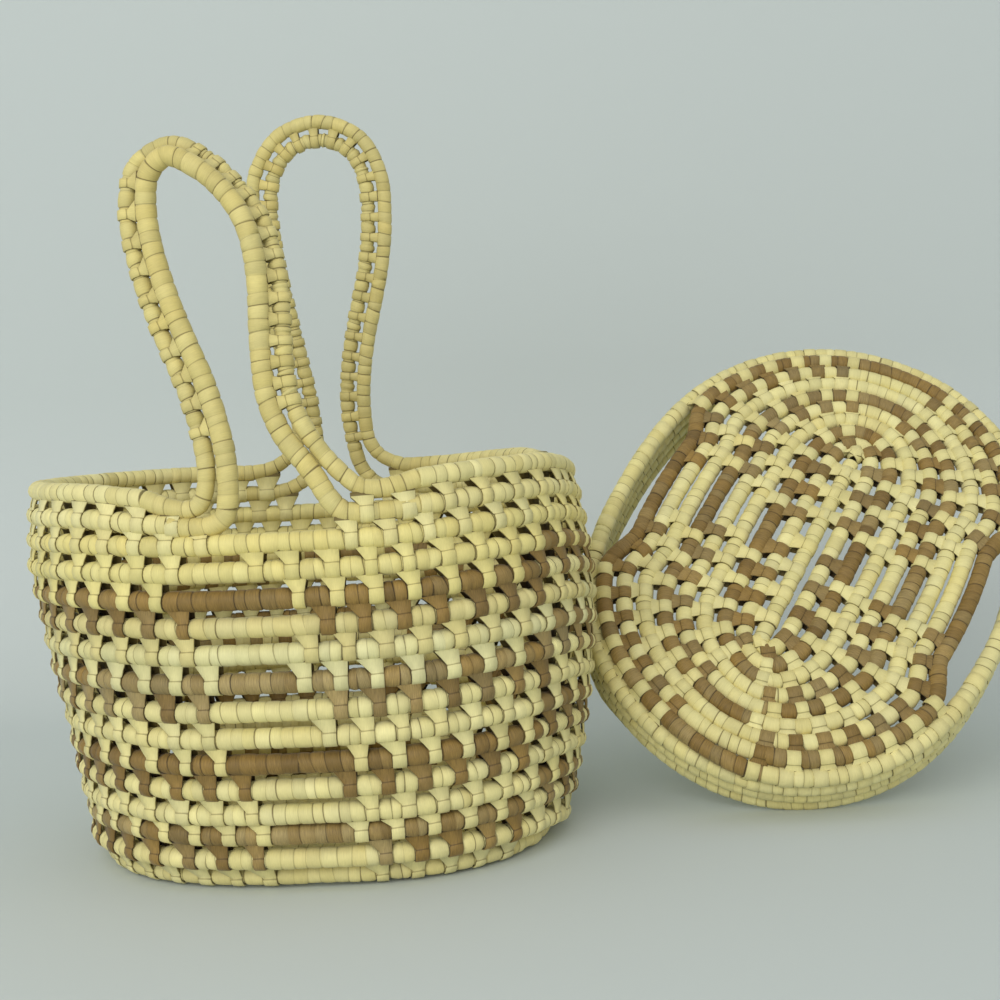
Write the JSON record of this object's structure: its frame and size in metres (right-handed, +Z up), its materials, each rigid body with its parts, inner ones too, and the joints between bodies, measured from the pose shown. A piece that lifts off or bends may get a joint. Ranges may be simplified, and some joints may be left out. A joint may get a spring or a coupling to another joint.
{
  "type": "lidded coiled basket",
  "caption": "Oval open-work basket of wrapped palm-leaf coil in cream and brown rows, with two arch handles and a loose slotted lid standing beside it.",
  "frame": {"origin": "centre of the basket's underside, on the floor", "axes": "+Z up, +X along the basket's length towards the lid, -Y towards the viewer of the picture"},
  "size_m": [0.5314, 0.3001, 0.3875],
  "materials": {
    "cream_leaf": "satin",
    "brown_leaf": "satin"
  },
  "bodies": {
    "basket": {"back_handle_inner_strand": "cream_leaf", "back_handle_outer_strand": "cream_leaf", "base_coil_1": "cream_leaf", "base_coil_2": "cream_leaf", "base_coil_3": "cream_leaf", "base_coil_4": "cream_leaf", "base_coil_5": "cream_leaf", "base_coil_6": "cream_leaf", "base_start_run": "cream_leaf", "front_handle_inner_strand": "cream_leaf", "front_handle_outer_strand": "cream_leaf", "rim_lower_back_right": "cream_leaf", "rim_lower_front_right": "cream_leaf", "rim_lower_left": "cream_leaf", "rim_upper_back_right": "cream_leaf", "rim_upper_front_right": "cream_leaf", "rim_upper_left": "cream_leaf", "wall_coil_01": "cream_leaf", "wall_coil_02": "cream_leaf", "wall_coil_03": "brown_leaf", "wall_coil_04": "cream_leaf", "wall_coil_05": "cream_leaf", "wall_coil_06": "brown_leaf", "wall_coil_07": "cream_leaf", "wall_coil_08": "cream_leaf", "wall_coil_09": "brown_leaf", "wall_coil_10": "cream_leaf", "wall_coil_11": "cream_leaf", "wall_coil_12": "brown_leaf", "wall_coil_13": "cream_leaf", "wall_coil_14": "cream_leaf"},
    "lid": {"lid_coil_1": "cream_leaf", "lid_coil_2": "brown_leaf", "lid_coil_3": "cream_leaf", "lid_coil_4": "cream_leaf", "lid_coil_5": "brown_leaf", "lid_coil_6": "cream_leaf", "lid_coil_7": "cream_leaf", "lid_coil_8": "brown_leaf", "lid_ring_coil": "cream_leaf", "lid_skirt_coil_1": "cream_leaf", "lid_skirt_coil_2": "cream_leaf", "lid_skirt_coil_3": "cream_leaf", "lid_start_run": "cream_leaf"}
  },
  "joints": [
    {"name": "lid_lift", "type": "slide", "parent": "basket", "child": "lid", "axis": [0, 0, 1], "range_m": [0, 0.4]}
  ]
}
